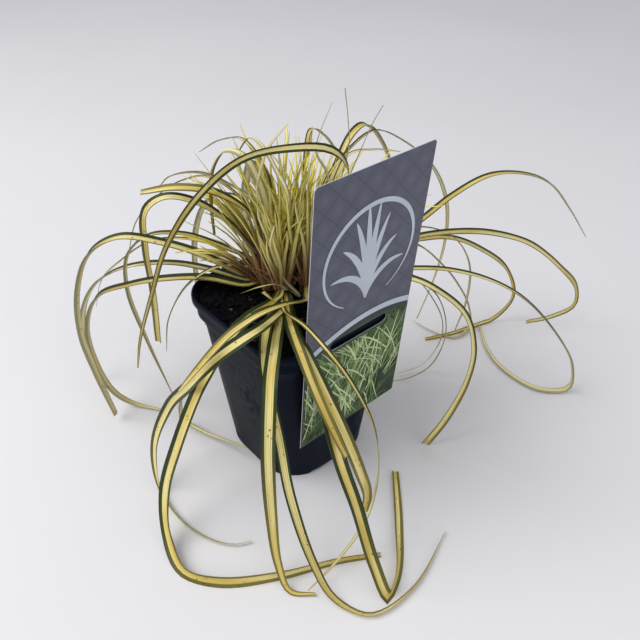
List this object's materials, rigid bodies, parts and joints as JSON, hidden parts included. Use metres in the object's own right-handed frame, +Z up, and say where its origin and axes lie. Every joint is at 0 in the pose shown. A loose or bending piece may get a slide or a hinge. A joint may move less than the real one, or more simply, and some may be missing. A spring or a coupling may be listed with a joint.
{
  "type": "potted sedge",
  "caption": "Tuft of arching sedge leaves striped cream and green, growing in a square black nursery pot with a plain plant label hooked over its rim.",
  "frame": {"origin": "the middle of the pot's base, on the surface it stands on", "axes": "+Z up; the pot's sides run along X and Y, and the plant label hangs on the -Y side with its printed face towards -Y; the longest leaves reach towards +X"},
  "size_m": [0.3236, 0.2709, 0.2033],
  "materials": {
    "pot_plastic": "satin",
    "potting_soil": "matte",
    "label_card": "satin",
    "striped_leaf": "satin",
    "inner_leaf": "satin"
  },
  "bodies": {
    "root": {"pot": "pot_plastic", "potting_soil": "potting_soil", "plant_label": "label_card", "front_shoot": "striped_leaf", "left_shoot": "striped_leaf", "back_left_shoot": "striped_leaf", "back_shoot": "striped_leaf", "back_right_shoot": "striped_leaf", "right_shoot": "striped_leaf", "label_side_shoot": "striped_leaf", "heart_shoot": "inner_leaf"}
  },
  "joints": []
}
